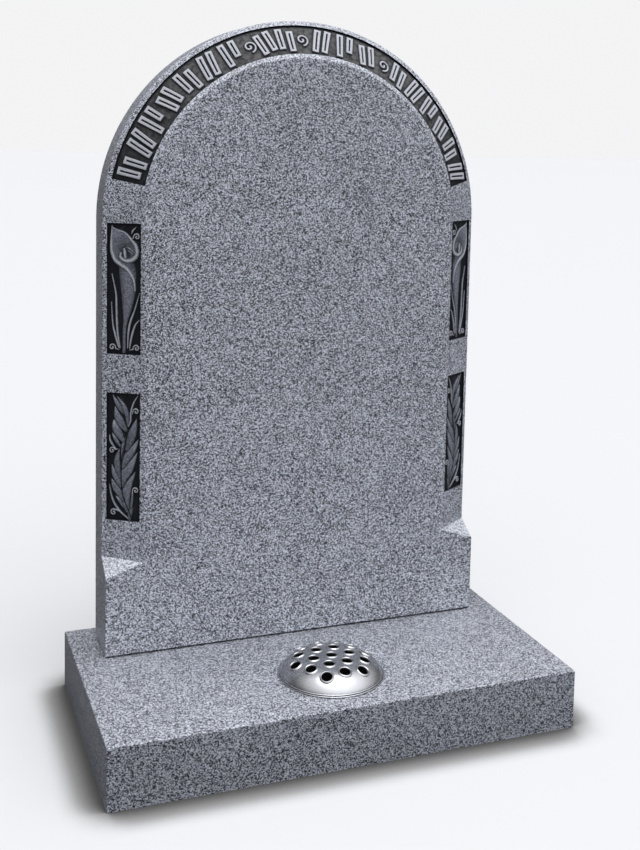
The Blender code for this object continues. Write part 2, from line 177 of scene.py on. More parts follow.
def on_panel(shares):
    """Panel shares, u from -0.5 at the outer edge and v from 0 at the foot, as metres on the slope."""
    return np.array(shares, float) * (sunk_width, panel_height)


# The calla lily: one flower with a rolled lip, its throat and spadix, four blades of grass and three
# curls. The left and right borders carry the same flower, mirrored about the stone's middle.
calla_curl = 0.0047


def draw_calla(drawing):
    body = [(0.0, 0.02), (0.006, 0.16), (0.028, 0.234), (0.053, 0.285), (0.079, 0.344), (0.105, 0.417)]
    bell = [(0.118, 0.49), (0.10, 0.563), (0.095, 0.62), (0.07, 0.665)]
    half = [0.055, 0.057, 0.064, 0.092, 0.138, 0.185, 0.225, 0.243, 0.262, 0.25]
    half = np.interp(np.linspace(0, 9, 40), range(10), half) * sunk_width
    tall = np.interp(np.linspace(0, 1, 40), [0, 0.3, 0.8, 1], [0.55, 0.62, 0.74, 0.50])
    trail(drawing, smooth_path(on_panel(body + bell), 40), half, tall, rounded)
    tip = [(-0.357, 0.98), (-0.371, 0.92), (-0.382, 0.86), (-0.372, 0.80), (-0.334, 0.757)]
    roll = [(-0.257, 0.716), (-0.10, 0.683), (0.043, 0.661), (0.157, 0.629), (0.257, 0.585)]
    tail = [(0.306, 0.545), (0.323, 0.49)]
    fold = [(-0.345, 0.966), (-0.186, 0.947), (-0.014, 0.932), (0.10, 0.91), (0.20, 0.877), (0.314, 0.841)]
    inner = [(0.371, 0.797), (0.357, 0.757), (0.257, 0.727), (0.10, 0.713), (-0.043, 0.724), (-0.114, 0.746)]
    left_edge = smooth_path(on_panel(tip + roll[:3]), 40)
    right_edge = smooth_path(on_panel(fold + inner[:4]), 40)
    mouth = np.vstack([left_edge[::-1], right_edge])
    throat = on_panel([(0.04, 0.77)])[0]

    def hollow(u, v):
        away = np.hypot((u - throat[0]) / 0.020, (v - throat[1]) / 0.026)
        return np.clip(0.06 + 0.66 * np.minimum(away, 1.1), 0, 0.8)

    plate(drawing, mouth, hollow)
    spadix = smooth_path(on_panel([(0.035, 0.738), (0.02, 0.765), (0.0, 0.806)]), 12)
    trail(drawing, spadix, swelling(12, 0.052 * sunk_width, 0.6, 0.7, 0.6), 1.0, rounded)
    sweeps = (
        [(0.04, 0.82), (0.17, 0.805), (0.29, 0.775)],
        [(0.09, 0.795), (0.17, 0.783), (0.25, 0.762)],
    )
    for sweep in sweeps:
        trail(drawing, smooth_path(on_panel(sweep), 12), swelling(12, 0.030 * sunk_width), 0.75, rounded)
    lips = (
        (tip + roll + tail, [0, 0.15, 0.3, 0.5, 0.75, 1], [0.015, 0.035, 0.065, 0.07, 0.055, 0.02]),
        (
            fold + inner + [(-0.095, 0.772)],
            [0, 0.3, 0.5, 0.65, 0.9, 1],
            [0.015, 0.035, 0.066, 0.072, 0.052, 0.035],
        ),
    )
    for points, shares, widths in lips:
        half = np.interp(np.linspace(0, 1, 90), shares, widths)
        trail(drawing, smooth_path(on_panel(points), 90), half * sunk_width, 1.0, rounded)
    grass = (
        [(-0.114, 0.05), (-0.186, 0.161), (-0.214, 0.27), (-0.229, 0.417), (-0.257, 0.49), (-0.357, 0.612)],
        [(-0.143, 0.05), (-0.20, 0.095), (-0.271, 0.161), (-0.329, 0.234), (-0.371, 0.398)],
        [(0.114, 0.05), (0.129, 0.161), (0.171, 0.234), (0.229, 0.285), (0.314, 0.344), (0.457, 0.474)],
        [(0.171, 0.05), (0.214, 0.124), (0.271, 0.183), (0.343, 0.234), (0.457, 0.269)],
    )
    for blade in grass:
        path = smooth_path(on_panel(blade), 40)
        trail(drawing, path, swelling(40, 0.034 * sunk_width, 0.35, 0.6, 0.35), 0.95, flattened)
    whisker = smooth_path(on_panel([(0.215, 0.915), (0.25, 0.945), (0.365, 0.978)]), 12)
    trail(drawing, whisker, swelling(12, 0.026 * sunk_width), 0.95, flattened)
    curls = (
        (-0.343, 0.052, -20, 1, (2.0, -0.6)),
        (0.372, 0.052, 200, -1, (-2.0, -0.6)),
        (0.372, 0.900, 195, -1, (-1.5, -0.6)),
    )
    for u, v, start, hand, tail in curls:
        curl(drawing, on_panel([(u, v)])[0], calla_curl, start, hand, tail)


# The leaves: a lobed leaf with another growing out past it, its midrib cut as a groove, three tendrils
# and four curls. Each lobe is one blade, from its root on the midrib through a bend to its tip.
leaf_curl = 0.0044
cut_round_lobe = 0.0009
cut_depth = 0.75


def draw_leaves(drawing):
    lobes = (
        ([(0.149, 0.063), (0.011, 0.118), (-0.113, 0.159), (-0.224, 0.192)], 0.068, 0.95),
        ([(0.185, 0.00), (0.19, 0.05), (0.22, 0.10), (0.215, 0.14)], 0.070, 0.70),
        ([(0.215, 0.10), (0.24, 0.14), (0.265, 0.19), (0.287, 0.230)], 0.040, 0.85),
        ([(0.108, 0.080), (0.066, 0.178), (0.132, 0.267), (0.351, 0.390)], 0.140, 0.85),
        ([(-0.003, 0.160), (-0.141, 0.217), (-0.265, 0.265), (-0.354, 0.325)], 0.105, 0.85),
        ([(-0.058, 0.275), (0.011, 0.352), (0.177, 0.418), (0.412, 0.542)], 0.150, 0.90),
        ([(-0.086, 0.265), (-0.169, 0.311), (-0.279, 0.367), (-0.343, 0.437)], 0.090, 0.90),
        ([(-0.105, 0.340), (-0.182, 0.413), (-0.196, 0.486), (-0.113, 0.566)], 0.095, 0.82),
        ([(-0.017, 0.420), (0.094, 0.493), (0.260, 0.555), (0.453, 0.648)], 0.118, 0.92),
        ([(0.094, 0.560), (0.204, 0.641), (0.290, 0.716), (0.384, 0.805)], 0.125, 0.78),
        ([(-0.050, 0.480), (-0.030, 0.563), (0.010, 0.61), (0.075, 0.665)], 0.062, 0.82),
        ([(-0.100, 0.580), (-0.196, 0.617), (-0.279, 0.652), (-0.338, 0.687)], 0.054, 1.00),
        ([(-0.010, 0.625), (-0.160, 0.684), (-0.251, 0.733), (-0.290, 0.792)], 0.125, 1.00),
        ([(0.061, 0.711), (-0.086, 0.766), (-0.196, 0.823), (-0.253, 0.892)], 0.118, 0.92),
        ([(-0.003, 0.841), (-0.113, 0.883), (-0.210, 0.925), (-0.330, 0.982)], 0.080, 0.85),
        ([(0.127, 0.745), (0.094, 0.829), (-0.003, 0.899), (-0.200, 0.974)], 0.070, 0.85),
    )
    for points, widest, height in lobes:
        path = smooth_path(on_panel(points), 30)
        tall = height * np.interp(np.linspace(0, 1, 30), [0, 0.5, 0.8, 1], [0.55, 0.80, 1.0, 1.04])
        half = swelling(30, widest * sunk_width, 0.45, 0.45, 0.05)
        trail(drawing, path, half + cut_round_lobe, cut_depth, rounded, cut=True)
        trail(drawing, path, half, tall, leaf_blade)
    rib = [(0.26, 0.01), (0.12, 0.10), (-0.005, 0.18), (-0.065, 0.28), (-0.075, 0.42), (-0.045, 0.50)]
    rib = smooth_path(on_panel(rib + [(0.02, 0.58), (0.10, 0.68)]), 60)
    trail(drawing, rib, 0.020 * sunk_width, 0.85, rounded, cut=True)
    tendrils = (
        [(0.149, 0.019), (-0.072, 0.065), (-0.238, 0.119), (-0.348, 0.182), (-0.420, 0.280)],
        [(-0.30, 0.082), (-0.18, 0.080), (-0.05, 0.062)],
        [(0.149, 0.743), (0.204, 0.788), (0.218, 0.854), (0.301, 0.93), (0.425, 0.985)],
        [(-0.238, 0.563), (-0.32, 0.59), (-0.403, 0.627), (-0.417, 0.668)],
    )
    for points in tendrils:
        path = smooth_path(on_panel(points), 30)
        trail(drawing, path, swelling(30, 0.032 * sunk_width, 0.5, 0.45, 0.35), 0.92, flattened)
    curls = (
        (0.372, 0.862, 195, -1, (-1.3, -1.0)),
        (-0.334, 0.548, 20, 1, (1.8, 0.5)),
        (0.370, 0.245, 195, -1, (-1.1, -1.5)),
        (-0.290, 0.062, 60, 1, (2.2, 0.5)),
    )
    for u, v, start, hand, tail in curls:
        curl(drawing, on_panel([(u, v)])[0], leaf_curl, start, hand, tail)


# The arch band: rows of shallow upright and leaning bars, each cut as a raised outline round a sunk
# line, with a spiral between two groups.
mark_groups = (7, 2, 3, 6)
spiral_angles = tuple(math.radians(angle) for angle in (-18.6, -1.0, 28.5))
spiral_radius = 0.0092
mark_margin = 0.0042
mark_lean = math.radians(11)
bar_width = 0.0102
mark_reach = 0.025
spiral_reach = 0.016
mark_height = sunk_width - 2 * mark_margin


def draw_bar(drawing, centre, length, lean):
    u, v, field = drawing
    along = (math.sin(lean), math.cos(lean))
    far_along = np.abs((u - centre[0]) * along[0] + (v - centre[1]) * along[1])
    far_across = np.abs((u - centre[0]) * along[1] - (v - centre[1]) * along[0])
    edge = np.minimum(length / 2 - far_along, bar_width / 2 - far_across)
    raised = np.interp(edge, [0, 0.0004, 0.0008, 0.0039, 0.0043, 0.0047], [0, 0.85, 1, 1, 0.50, 0.0])
    np.maximum(field, raised, out=field)


def draw_band(drawing):
    along, across, field = drawing
    bars = (
        ((-0.19, 0.06, 0.88, 0.0), (0.19, -0.06, 0.88, 0.0)),
        ((-0.18, 0.00, 1.00, mark_lean), (0.18, 0.00, 1.00, mark_lean)),
        ((-0.19, 0.00, 1.00, 0.0), (0.19, 0.14, 0.72, 0.0)),
        ((-0.18, -0.05, 0.88, -mark_lean), (0.18, 0.05, 0.88, -mark_lean)),
    )

    def part_of_band(angle, reach):
        middle = (angle + math.pi / 2) * middle_radius
        near = np.flatnonzero(np.abs(along - middle) < reach)
        return near, (along[near] - middle, across[near], field[near])

    half_angle = math.pi / 2 - band_foot_angle
    stops = [-half_angle, *spiral_angles, half_angle]
    kind = 0
    for group, count in enumerate(mark_groups):
        start, end = stops[group], stops[group + 1]
        first = 0.30 if group else 0.05
        last = 0.30 if group < len(mark_groups) - 1 else 0.05
        pitch = (end - start) / (count + first + last)
        for index in range(count):
            near, drawn = part_of_band(start + pitch * (first + 0.5 + index), mark_reach)
            for u, v, share, lean in bars[kind % 4]:
                draw_bar(drawn, (u * mark_height, v * mark_height), share * mark_height, lean)
            field[near] = drawn[2]
            kind += 1
    for angle in spiral_angles:
        near, drawn = part_of_band(angle, spiral_reach)
        curl(drawn, (0.0, 0.0), spiral_radius, -80, 1, turns=1.3, weight=0.17)
        field[near] = drawn[2]


# The stone's mesh: a grid laid up the left border, over the arch and down the right, as fine as the
# chisel where it is carved. The rows and columns meet the rims, so their edges stay straight.
def even(start, end, step):
    return np.linspace(start, end, math.ceil(abs(end - start) / step) + 1)


def carved_rows(start, end):
    return np.concatenate([[start], even(start + wall_draft, end - wall_draft, chisel_step), [end]])


side_rows = np.concatenate([
    [stop_height - spring_height],
    carved_rows(leaf_foot - spring_height, leaf_foot + panel_height - spring_height),
    carved_rows(calla_foot - spring_height, calla_foot + panel_height - spring_height),
])
arch_rows = np.concatenate([
    even(0, band_start, plain_step)[:-1],
    carved_rows(band_start, band_end),
    even(band_end, arch_length, plain_step)[1:],
])
rows = np.concatenate([side_rows, arch_rows, (arch_length - side_rows)[::-1]])
half_sunk = sunk_width / 2
chamfer = np.concatenate([[slope / 2 - arris], -carved_rows(-half_sunk, half_sunk), [arris - slope / 2]])
radii = np.concatenate([
    [outer_radius - arris, outer_radius, outer_radius],
    middle_radius + chamfer * border_width / slope,
    [inner_radius - arris],
])
depths = np.concatenate([
    [back_depth, back_depth - arris, face_depth + border_setback + arris],
    middle_depth + chamfer * border_setback / slope,
    [face_depth],
])
first_chamfer = 3
columns = len(radii)

along, column = np.meshgrid(rows, np.arange(columns), indexing="ij")
along = along.ravel()
column = column.ravel()
across = np.full(columns, np.nan)
across[first_chamfer:-1] = chamfer
across = across[column]
field = np.zeros(len(along))
turn = np.clip(along / middle_radius, 0, math.pi) - math.pi / 2
climb = np.minimum(along, 0) - np.maximum(along - arch_length, 0)
height_on_side = spring_height + climb
tiny = 1e-7

between_rims = np.abs(across) < half_sunk - tiny
carved = between_rims & (along > band_start + tiny) & (along < band_end - tiny)
there = np.flatnonzero(carved)
drawing = (along[there], across[there], field[there])
draw_band(drawing)
field[there] = drawing[2]
for foot, draw in ((leaf_foot, draw_leaves), (calla_foot, draw_calla)):
    on_side = (climb < 0) & (height_on_side > foot + tiny) & (height_on_side < foot + panel_height - tiny)
    there = np.flatnonzero(between_rims & on_side)
    drawing = (-across[there], height_on_side[there] - foot, field[there])
    draw(drawing)
    field[there] = drawing[2]
    carved[there] = True

height = np.where(carved, field * relief_height - sunk_depth, 0.0)
radius = radii[column] + height * border_setback / slope
places = np.stack([
    radius * np.sin(turn),
    depths[column] - height * border_width / slope,
    arch_centre + radius * np.cos(turn) + climb,
], 1)

stone = bmesh.new()
bmesh.ops.create_grid(stone, x_segments=columns - 1, y_segments=len(rows) - 1, size=1.0)
stone.verts.ensure_lookup_table()
for vertex, place in zip(stone.verts, places):
    vertex.co = place
relief_layer = stone.verts.layers.float.new("relief")
carved_layer = stone.verts.layers.float.new("carved")
weight_layer = stone.verts.layers.deform.new()
for index in np.flatnonzero(carved):
    vertex = stone.verts[index]
    vertex[relief_layer] = field[index]
    vertex[carved_layer] = 2.0 if 0 < along[index] < arch_length else 1.0
    vertex[weight_layer][0] = 1.0

# The stops: the border's last row slopes to the face, and a three-cornered facet leads down to it.
# The slab stands on a thin bed of dark jointing, set back from its edges all round.
joint_height = 0.0024
joint_depth = 0.0030
stops = []
arris_edges = []
for row, side in ((0, -1), (len(rows) - 1, 1)):
    line = [stone.verts[row * columns + index] for index in range(columns)]
    tip, outer = stop_height + stop_tip_rise, stop_height + stop_back_rise
    for vertex in line:
        share = (abs(vertex.co.x) - inner_radius) / border_width
        vertex.co.z = stone_low.z + tip + (outer - tip) * min(max(share, 0), 1)
    for vertex in line[:2]:
        vertex.co.z = stone_low.z + joint_height
    stops.append((side, line))
feet = []
for side, line in stops:
    low = stone.verts.new((side * outer_radius, face_depth, stone_low.z + stop_height))
    foot = stone.verts.new((side * outer_radius, face_depth, stone_low.z + joint_height))
    stone.faces.new([*line[2:], low])
    stone.faces.new([*line[1:3], low, foot])
    arris_edges += [stone.edges.get(pair) for pair in ((low, foot), (low, line[-1]), (low, line[2]))]
    feet.append([foot, line[1], line[0]])
stone.faces.new([*feet[0], *reversed(feet[1])])
bmesh.ops.holes_fill(stone, edges=stone.edges, sides=0)
bmesh.ops.recalc_face_normals(stone, faces=stone.faces)
bmesh.ops.bevel(
    stone, geom=arris_edges, offset=arris, segments=2, profile=0.5, affect="EDGES", material=-1
)
bmesh.ops.recalc_face_normals(stone, faces=stone.faces)
bed_top = stone_low.z + joint_height + tiny
sole = [face for face in stone.faces if max(vertex.co.z for vertex in face.verts) < bed_top]
bmesh.ops.inset_region(stone, faces=sole, thickness=joint_depth, use_even_offset=True)
bed = bmesh.ops.extrude_face_region(stone, geom=sole)["geom"]
bed = [item for item in bed if isinstance(item, bmesh.types.BMVert)]
bmesh.ops.translate(stone, vec=(0, 0, -joint_height), verts=bed)
bmesh.ops.delete(stone, geom=sole, context="FACES")
bmesh.ops.recalc_face_normals(stone, faces=stone.faces)
for face in stone.faces:
    if max(vertex.co.z for vertex in face.verts) < bed_top:
        face.material_index = 2

kept_triangles = 186000
stone_mesh = bpy.data.meshes.new("headstone_slab")
stone.to_mesh(stone_mesh)
stone.free()
slab = bpy.data.objects.new("headstone_slab", stone_mesh)
bpy.context.scene.collection.objects.link(slab)
slab.vertex_groups.new(name="carved")
thinner = slab.modifiers.new("thin the flat ground", "DECIMATE")
thinner.ratio = kept_triangles / sum(len(polygon.vertices) - 2 for polygon in stone_mesh.polygons)
thinner.vertex_group = "carved"
thinner.use_collapse_triangulate = True


def settle(piece):
    """Makes a piece's modifiers part of its mesh."""
    bpy.context.view_layer.update()
    evaluated = piece.evaluated_get(bpy.context.evaluated_depsgraph_get())
    settled = bpy.data.meshes.new_from_object(evaluated)
    old = piece.data
    piece.modifiers.clear()
    piece.data = settled
    bpy.data.meshes.remove(old)
    settled.name = piece.name


def shade(piece, angle, carved_angle=None):
    """Smooth faces with sharp edges past an angle, and another angle where the stone is carved."""
    bm = bmesh.new()
    bm.from_mesh(piece.data)
    depth = bm.verts.layers.float.get("carved")
    for face in bm.faces:
        face.smooth = True
    for edge in bm.edges:
        in_carving = carved_angle and all(vertex[depth] > 0.5 for vertex in edge.verts)
        edge.smooth = edge.calc_face_angle(0.0) < (carved_angle if in_carving else angle)
    bm.to_mesh(piece.data)
    bm.free()


plain_crease = math.radians(10)
carved_crease = math.radians(42)
settle(slab)
shade(slab, plain_crease, carved_crease)
depth = slab.data.attributes["carved"].data
for polygon in slab.data.polygons:
    if any(depth[index].value > 0.5 for index in polygon.vertices):
        polygon.material_index = 1


# Granite: interlocking grains of pale feldspar, grey quartz and black mica, 1 to 2 mm across, with a
# slow drift of tone over the block. The colour, the polish and the small relief come from one group.
def add(tree, kind, values=None, **settings):
    """A node with its settings, and with its inputs set to values or linked to other nodes' outputs."""
    node = tree.nodes.new(kind)
    for name, value in settings.items():
        setattr(node, name, value)
    for name, value in (values or {}).items():
        if isinstance(value, bpy.types.NodeSocket):
            tree.links.new(value, node.inputs[name])
        else:
            node.inputs[name].default_value = value
    return node


def figure(tree, operation, *values, **settings):
    """A number worked out from others."""
    return add(tree, "ShaderNodeMath", dict(enumerate(values)), operation=operation, **settings).outputs[0]


def spread(tree, value, low, high, from_low=0.0, from_high=1.0):
    """A number brought from one range to the range of low to high."""
    values = {"Value": value, "From Min": from_low, "From Max": from_high, "To Min": low, "To Max": high}
    return add(tree, "ShaderNodeMapRange", values).outputs["Result"]


def mottling(tree, place, scale, detail):
    return add(tree, "ShaderNodeTexNoise", {"Vector": place, "Scale": scale, "Detail": detail}).outputs["Fac"]


def blend(tree, share, one, two, kind="MIX"):
    """Two colours mixed, or multiplied together."""
    values = {"Factor": share, "A": one, "B": two}
    return add(tree, "ShaderNodeMix", values, data_type="RGBA", blend_type=kind).outputs["Result"]


def new_group(name, inputs, outputs):
    group = bpy.data.node_groups.new(name, "ShaderNodeTree")
    for direction, sockets in (("INPUT", inputs), ("OUTPUT", outputs)):
        for socket_name, kind in sockets.items():
            group.interface.new_socket(socket_name, in_out=direction, socket_type=kind)
    return group, group.nodes.new("NodeGroupInput").outputs, group.nodes.new("NodeGroupOutput").inputs


granite, given, result = new_group(
    "granite grain",
    {
        "Pale grain": "NodeSocketColor",
        "Grey grain": "NodeSocketColor",
        "Black grain": "NodeSocketColor",
        "Grain size": "NodeSocketFloat",
        "Black share": "NodeSocketFloat",
        "Polish": "NodeSocketFloat",
    },
    {"Colour": "NodeSocketColor", "Roughness": "NodeSocketFloat", "Height": "NodeSocketFloat"},
)
coordinates = add(granite, "ShaderNodeTexCoord").outputs["Object"]
per_metre = figure(granite, "DIVIDE", 1.0, given["Grain size"])
grains = add(granite, "ShaderNodeVectorMath", {0: coordinates, "Scale": per_metre}, operation="SCALE")
grains = grains.outputs[0]
ragged = add(granite, "ShaderNodeTexNoise", {"Vector": grains, "Scale": 1.1, "Detail": 1.0}).outputs["Color"]
bent = add(
    granite, "ShaderNodeVectorMath", {0: ragged, 1: (0.3, 0.3, 0.3), 2: grains}, operation="MULTIPLY_ADD"
).outputs[0]
coarse = add(granite, "ShaderNodeTexVoronoi", {"Vector": bent, "Scale": 1.0})
fine = add(granite, "ShaderNodeTexVoronoi", {"Vector": bent, "Scale": 2.1})
coarse_tone = add(granite, "ShaderNodeSeparateColor", {"Color": coarse.outputs["Color"]}).outputs["Red"]
fine_tone = add(granite, "ShaderNodeSeparateColor", {"Color": fine.outputs["Color"]}).outputs["Green"]
tone = add(granite, "ShaderNodeMix", {"Factor": 0.45, "A": coarse_tone, "B": fine_tone}).outputs["Result"]
drift = spread(granite, mottling(granite, coordinates, 9.0, 3.0), -0.05, 0.05)
tone = figure(granite, "ADD", tone, drift)
pale_share = spread(granite, tone, 0.0, 1.0, 0.44, 0.62)
bright = blend(granite, pale_share, given["Grey grain"], given["Pale grain"])
black_end = figure(granite, "ADD", given["Black share"], 0.10)
not_black = spread(granite, tone, 0.0, 1.0, given["Black share"], black_end)
speckled = blend(granite, not_black, given["Black grain"], bright)
granite.links.new(speckled, result["Colour"])
roughness = figure(granite, "ADD", given["Polish"], spread(granite, tone, 0.07, -0.03))
granite.links.new(roughness, result["Roughness"])
granite.links.new(tone, result["Height"])

pale_grain = (0.87, 0.905, 1.00, 1.0)
grey_grain = (0.165, 0.178, 0.225, 1.0)
black_grain = (0.006, 0.007, 0.010, 1.0)
grain_size = 0.00128


def granite_finish(tree, polish, black_share=0.38, depth=1.0):
    """The granite group, placed in a stone's own material with its own polish and depth of colour."""
    placed = add(tree, "ShaderNodeGroup", node_tree=granite)
    values = {
        "Pale grain": [part * depth for part in pale_grain],
        "Grey grain": [part * depth for part in grey_grain],
        "Black grain": black_grain,
        "Grain size": grain_size,
        "Black share": black_share,
        "Polish": polish,
    }
    for name, value in values.items():
        placed.inputs[name].default_value = value
    return placed.outputs


def new_material(name):
    material = bpy.data.materials.new(name)
    material.use_nodes = True
    tree = material.node_tree
    return material, tree, tree.nodes["Principled BSDF"].inputs


def ramp(tree, factor, *stops):
    """A colour ramp from (place, colour) pairs."""
    node = add(tree, "ShaderNodeValToRGB", {"Fac": factor})
    elements = node.color_ramp.elements
    for _ in stops[2:]:
        elements.new(0.5)
    for element, (place, colour) in zip(elements, stops):
        element.position = place
        element.color = (*colour, 1.0)
    return node.outputs["Color"]


def finish(tree, shader, colour, roughness, height, strength, distance):
    """Gives the shader its colour, its roughness and a small relief."""
    bump = add(tree, "ShaderNodeBump", {"Strength": strength, "Distance": distance, "Height": height})
    tree.links.new(colour, shader["Base Color"])
    tree.links.new(roughness, shader["Roughness"])
    tree.links.new(bump.outputs["Normal"], shader["Normal"])


# The slab's own finish: polished granite on its faces, made paler by a painted highlight where the chamfer,
# the stops and the crown look up, and darker by painted shade towards its sawn sides.
slab_granite, tree, shader = new_material("polished headstone granite")
stone_grain = granite_finish(tree, 0.30)
normal = add(tree, "ShaderNodeNewGeometry").outputs["Normal"]
facing = add(tree, "ShaderNodeSeparateXYZ", {"Vector": normal}).outputs
# Painted highlight: faces that look up are mixed towards a pale grey.
painted_top_light = spread(tree, facing["Z"], 0.0, 0.20, 0.15, 0.50)
paler = blend(tree, painted_top_light, stone_grain["Colour"], (0.82, 0.84, 0.92, 1.0))
# Painted shade: faces that look sideways are darkened.
painted_side_shade = ramp(
    tree,
    figure(tree, "ABSOLUTE", facing["X"]),
    (0.38, (1.0, 1.0, 1.0)),
    (0.55, (0.92, 0.92, 0.93)),
    (0.97, (0.79, 0.78, 0.77)),
)
colour = blend(tree, 1.0, paler, painted_side_shade, "MULTIPLY")
finish(tree, shader, colour, stone_grain["Roughness"], stone_grain["Height"], 0.25, 0.0002)
slab.data.materials.append(slab_granite)

# The carving's finish: the sunk grounds are painted black, paler in patches and where they face up, and
# darkened by painted shade near walls and relief. The relief is rubbed back to the grey grain of the stone,
# with painted shade low down and in its crevices, and a painted highlight where it stands highest.
carving_paint, tree, shader = new_material("painted and rubbed carving")
shader["Specular IOR Level"].default_value = 0.22
relief = add(tree, "ShaderNodeAttribute", attribute_name="relief").outputs["Fac"]
object_place = add(tree, "ShaderNodeTexCoord").outputs["Object"]
mottle = mottling(tree, object_place, 180.0, 4.0)
stipple = mottling(tree, object_place, 900.0, 2.0)
open_air = add(tree, "ShaderNodeAmbientOcclusion", {"Distance": 0.0045}, samples=8).outputs["AO"]
# Painted shade: the ground is darkened where walls and relief stand close by.
out_of_corners = spread(tree, open_air, 0.0, 1.0, 0.72, 0.94)
normal = add(tree, "ShaderNodeNewGeometry").outputs["Normal"]
upward = add(tree, "ShaderNodeSeparateXYZ", {"Vector": normal}).outputs["Z"]
facing_up = spread(tree, upward, 0.08, 1.0, 0.02, 0.45)
patchy = spread(tree, mottle, 0.35, 1.0, 0.35, 0.65)
ground_paleness_and_painted_shade = figure(tree, "MULTIPLY", figure(tree, "MULTIPLY", out_of_corners, facing_up), patchy)
ground = ramp(
    tree,
    ground_paleness_and_painted_shade,
    (0.0, (0.006, 0.008, 0.012)),
    (0.25, (0.032, 0.033, 0.036)),
    (0.9, (0.14, 0.138, 0.138)),
)
carved_grain = granite_finish(tree, 0.4, 0.24)
soft_grain = blend(tree, 0.60, carved_grain["Colour"], (0.40, 0.41, 0.45, 1.0))
stippled_relief = figure(tree, "ADD", relief, spread(tree, stipple, -0.25, 0.25))
# Painted shade and highlight: the relief is darker low down and paler the higher it stands.
painted_height_shade = ramp(
    tree,
    stippled_relief,
    (0.15, (0.08, 0.085, 0.09)),
    (0.50, (0.38, 0.39, 0.42)),
    (0.80, (0.64, 0.65, 0.69)),
    (1.00, (1.00, 1.00, 1.00)),
)
grainy = blend(tree, 1.0, soft_grain, painted_height_shade, "MULTIPLY")
carved_depth = add(tree, "ShaderNodeAttribute", attribute_name="carved").outputs["Fac"]
in_band = figure(tree, "SUBTRACT", carved_depth, 1.0, use_clamp=True)
speckle = spread(tree, stipple, 0.0, 1.0, 0.3, 0.7)
panel_top = ramp(tree, speckle, (0.0, (0.46, 0.47, 0.51)), (1.0, (0.74, 0.75, 0.80)))
band_top = ramp(tree, speckle, (0.0, (0.68, 0.69, 0.73)), (1.0, (1.0, 1.0, 1.0)))
# The highest relief is paler, partly for its polish and partly as a painted highlight, up to white on the
# band's bars.
on_top = spread(tree, relief, 0.0, 1.0, 0.88, 1.00)
polish_and_painted_highlight = blend(tree, on_top, grainy, blend(tree, in_band, panel_top, band_top))
# Painted shade: the relief is darkened in its crevices and between its lobes.
painted_crevice_shade = ramp(tree, open_air, (0.30, (0.10, 0.10, 0.11)), (0.75, (1.0, 1.0, 1.0)))
shaded = blend(tree, 1.0, polish_and_painted_highlight, painted_crevice_shade, "MULTIPLY")
colour = blend(tree, spread(tree, relief, 0.0, 1.0, 0.03, 0.22), ground, shaded)
finish(tree, shader, colour, spread(tree, relief, 0.62, 0.34), stipple, 0.6, 0.0005)
slab.data.materials.append(carving_paint)

# The jointing under the slab: dark setting compound, dull and faintly mottled, pointed back from the
# stone's edges all round.
jointing, tree, shader = new_material("dark jointing")
object_place = add(tree, "ShaderNodeTexCoord").outputs["Object"]
mottle = mottling(tree, object_place, 300.0, 3.0)
colour = ramp(tree, mottle, (0.3, (0.012, 0.012, 0.013)), (0.7, (0.03, 0.03, 0.032)))
tree.links.new(colour, shader["Base Color"])
shader["Roughness"].default_value = 0.9
slab.data.materials.append(jointing)
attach(slab, "root")
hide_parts("headstone")

# The base: a block of the same granite, 76 mm thick, polished on top and all round, with its edges
# eased by a small round arris. A hole is cored through its front ledge for the flower container.
base_low, base_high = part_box("base")
pot_low, pot_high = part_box("flower_container")
pot_centre = (pot_low + pot_high) / 2
base_arris = 0.0016
pot_radius = 0.0600
core_clearance = 0.0025
core_radius = pot_radius + core_clearance
block = bmesh.new()
bmesh.ops.create_cube(block, size=1.0)
bmesh.ops.scale(block, vec=base_high - base_low, verts=block.verts)
bmesh.ops.translate(block, vec=(base_low + base_high) / 2, verts=block.verts)
upper = [edge for edge in block.edges if max(vertex.co.z for vertex in edge.verts) > base_high.z / 2]
bmesh.ops.bevel(
    block, geom=upper, offset=base_arris, segments=4, profile=0.5, affect="EDGES", material=-1
)


def piece_from(bm, name):
    """A new piece from a bmesh, with its faces turned outwards."""
    bmesh.ops.recalc_face_normals(bm, faces=bm.faces)
    mesh = bpy.data.meshes.new(name)
    bm.to_mesh(mesh)
    bm.free()
    piece = bpy.data.objects.new(name, mesh)
    bpy.context.scene.collection.objects.link(piece)
    return piece


def cut_away(piece, tool):
    """Cuts the tool out of the piece for good."""
    cut = piece.modifiers.new("cut", "BOOLEAN")
    cut.operation = "DIFFERENCE"
    cut.object = tool
    settle(piece)
    bpy.data.objects.remove(tool, do_unlink=True)


base_block = piece_from(block, "base_block")
core = bmesh.new()
bmesh.ops.create_cone(
    core,
    cap_ends=True,
    segments=96,
    radius1=core_radius,
    radius2=core_radius,
    depth=base_high.z * 2,
    matrix=Matrix.Translation((pot_centre.x, pot_centre.y, base_high.z / 2)),
)
cut_away(base_block, piece_from(core, "core_drill"))
shade(base_block, math.radians(30))
base_granite, tree, shader = new_material("polished base granite")
# Painted shade: the base's grain is darkened to 0.83 of the slab's, though it is the same granite.
base_grain = granite_finish(tree, 0.24, 0.41, 0.83)
normal = add(tree, "ShaderNodeNewGeometry").outputs["Normal"]
upward = add(tree, "ShaderNodeSeparateXYZ", {"Vector": normal}).outputs["Z"]
# Painted shade: the base's sides are darker than its top.
painted_base_side_shade = ramp(tree, upward, (0.25, (0.74, 0.75, 0.76)), (0.90, (1.0, 1.0, 1.0)))
colour = blend(tree, 1.0, base_grain["Colour"], painted_base_side_shade, "MULTIPLY")
finish(tree, shader, colour, base_grain["Roughness"], base_grain["Height"], 0.3, 0.0002)
base_block.data.materials.append(base_granite)
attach(base_block, "root")
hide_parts("base")


